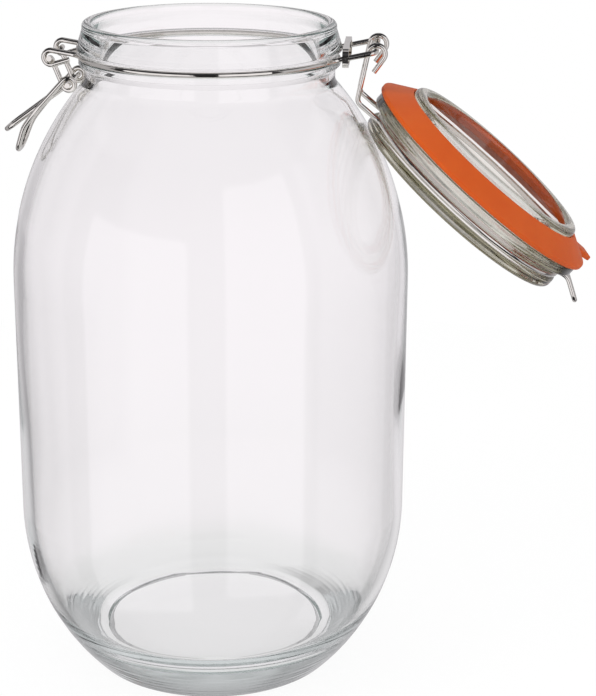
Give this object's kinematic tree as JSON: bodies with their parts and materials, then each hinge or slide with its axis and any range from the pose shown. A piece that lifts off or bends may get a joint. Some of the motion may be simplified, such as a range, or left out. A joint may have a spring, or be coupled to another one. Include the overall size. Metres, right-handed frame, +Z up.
{
  "type": "preserving jar",
  "caption": "Empty clip-top glass preserving jar with its glass lid swung open on a wire hinge, an orange rubber ring and a wire lever clasp.",
  "frame": {"origin": "centre of the foot's flat bearing ring, on the jar's axis, where it stands", "axes": "+Z up along the jar's axis, +X from the clasp to the lid's hinge, +Y across"},
  "size_m": [0.2249, 0.15, 0.2522],
  "materials": {
    "jar_glass": "clear soda-lime glass, blown, slightly wavy",
    "lid_glass": "clear pressed glass",
    "rubber": "matt orange natural rubber",
    "wire": "bright plated steel wire",
    "strip": "bright plated steel strip"
  },
  "bodies": {
    "jar": {"glass_jar": "jar_glass", "neck_wire": "wire", "ring_clamp": "strip"},
    "lid": {"lid_glass": "lid_glass", "rubber_ring": "rubber", "lid_wire": "wire"},
    "lever": {"lever": "wire"},
    "link": {"link": "wire"}
  },
  "joints": [
    {"name": "lid_hinge", "type": "hinge", "parent": "jar", "child": "lid", "pos_m": [0.06155, 0, 0.244], "axis": [0, -1, 0], "range_deg": [0, 220.2]},
    {"name": "lever_pivot", "type": "hinge", "parent": "jar", "child": "lever", "pos_m": [-0.05743, 0, 0.23936], "axis": [0, 1, 0], "range_deg": [-4, 170]},
    {"name": "link_pivot", "type": "hinge", "parent": "lever", "child": "link", "pos_m": [-0.05103, 0, 0.22956], "axis": [0, 1, 0], "range_deg": [0, 122]}
  ]
}
